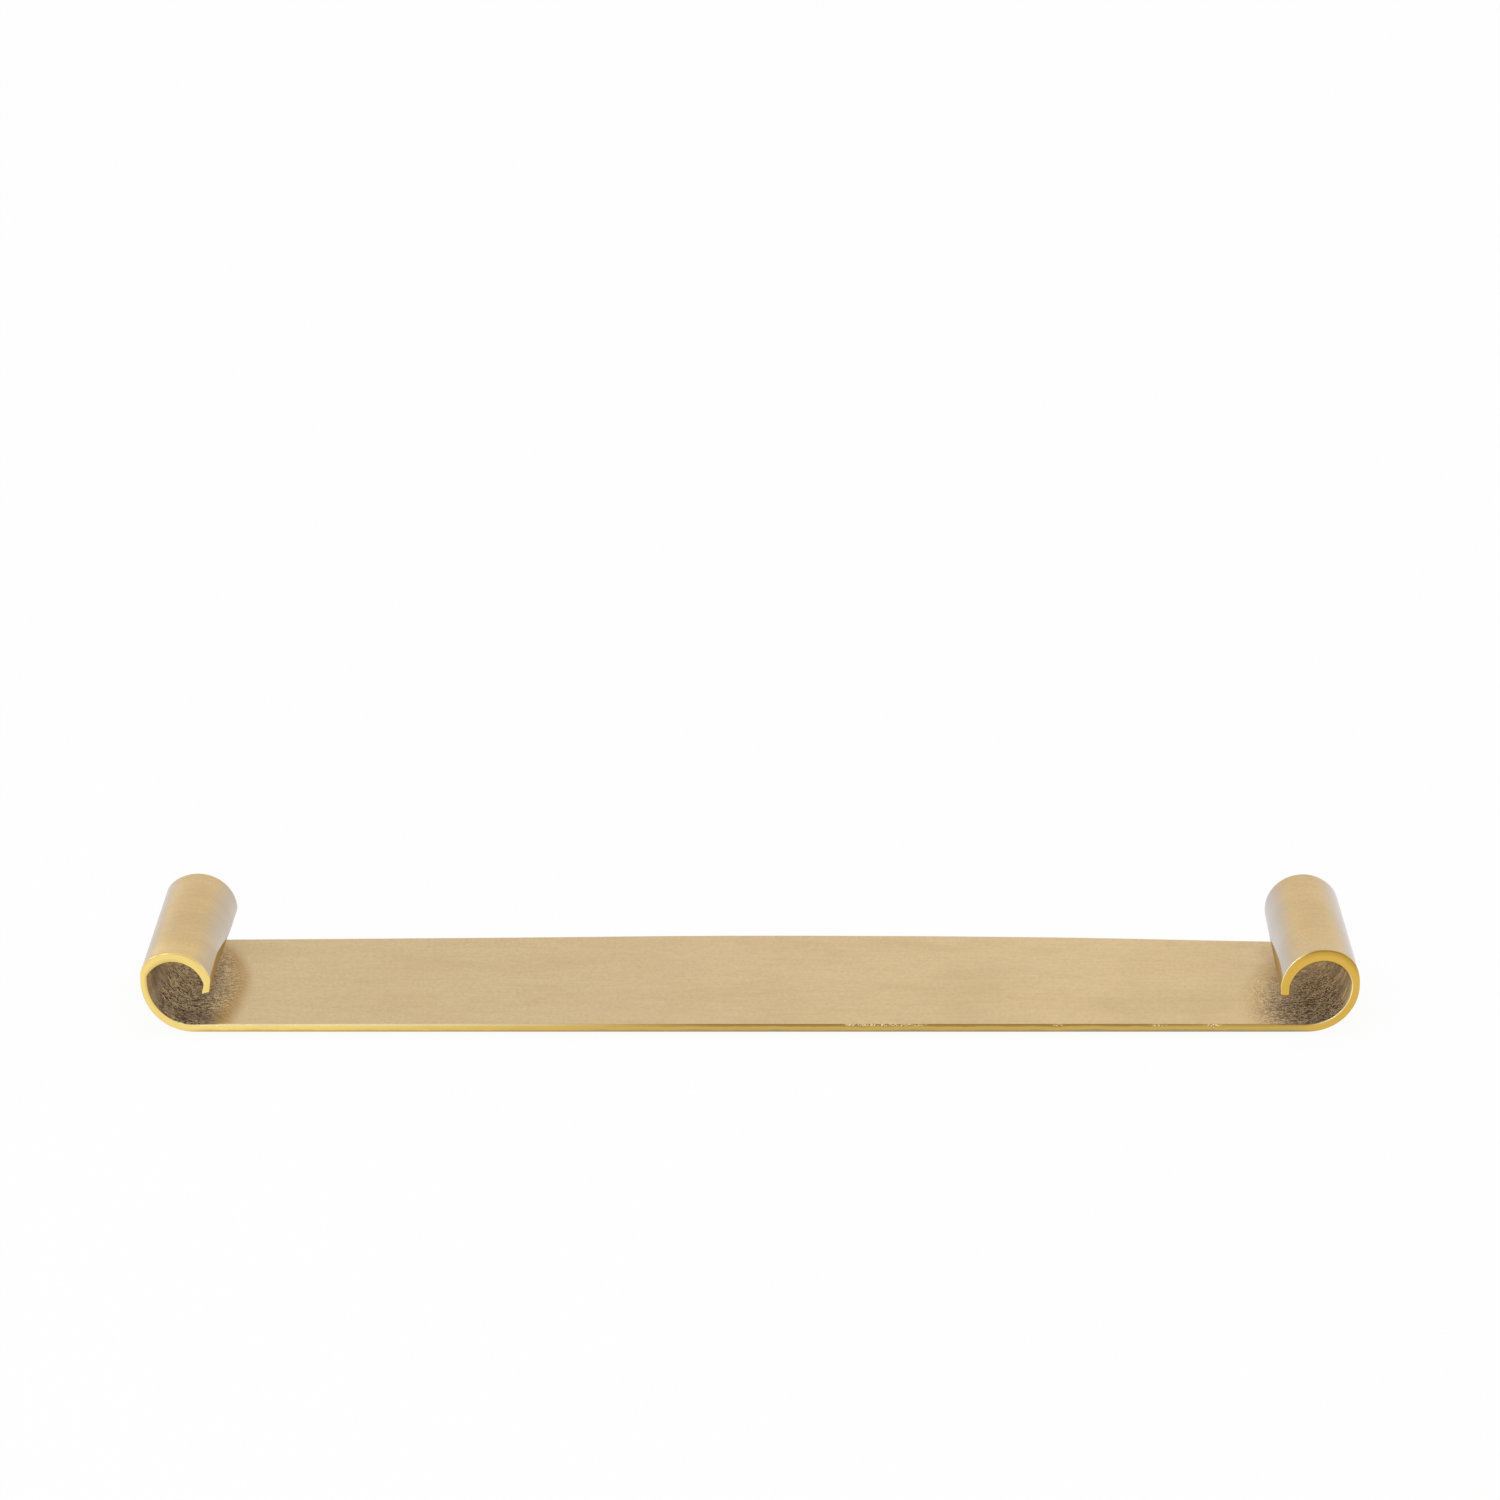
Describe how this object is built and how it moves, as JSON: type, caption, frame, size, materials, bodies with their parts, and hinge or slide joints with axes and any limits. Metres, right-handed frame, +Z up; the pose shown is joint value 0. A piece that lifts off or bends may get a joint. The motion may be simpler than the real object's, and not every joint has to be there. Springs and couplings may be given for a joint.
{
  "type": "decorative tray",
  "caption": "Long narrow cast metal tray whose ends roll up and inwards into open scrolls, standing on round felt pads.",
  "frame": {"origin": "on the table, under the middle of the tray's bounding box", "axes": "+X along the tray from the left roll to the right roll, +Y from the front edge to the back edge, +Z up"},
  "size_m": [0.6, 0.1276, 0.0437],
  "materials": {
    "cast_brass": "satin",
    "felt": "matte"
  },
  "bodies": {
    "root": {"tray_body": "cast_brass", "felt_pad_front_left": "felt", "felt_pad_front_right": "felt", "felt_pad_back_left": "felt", "felt_pad_back_right": "felt"}
  },
  "joints": []
}
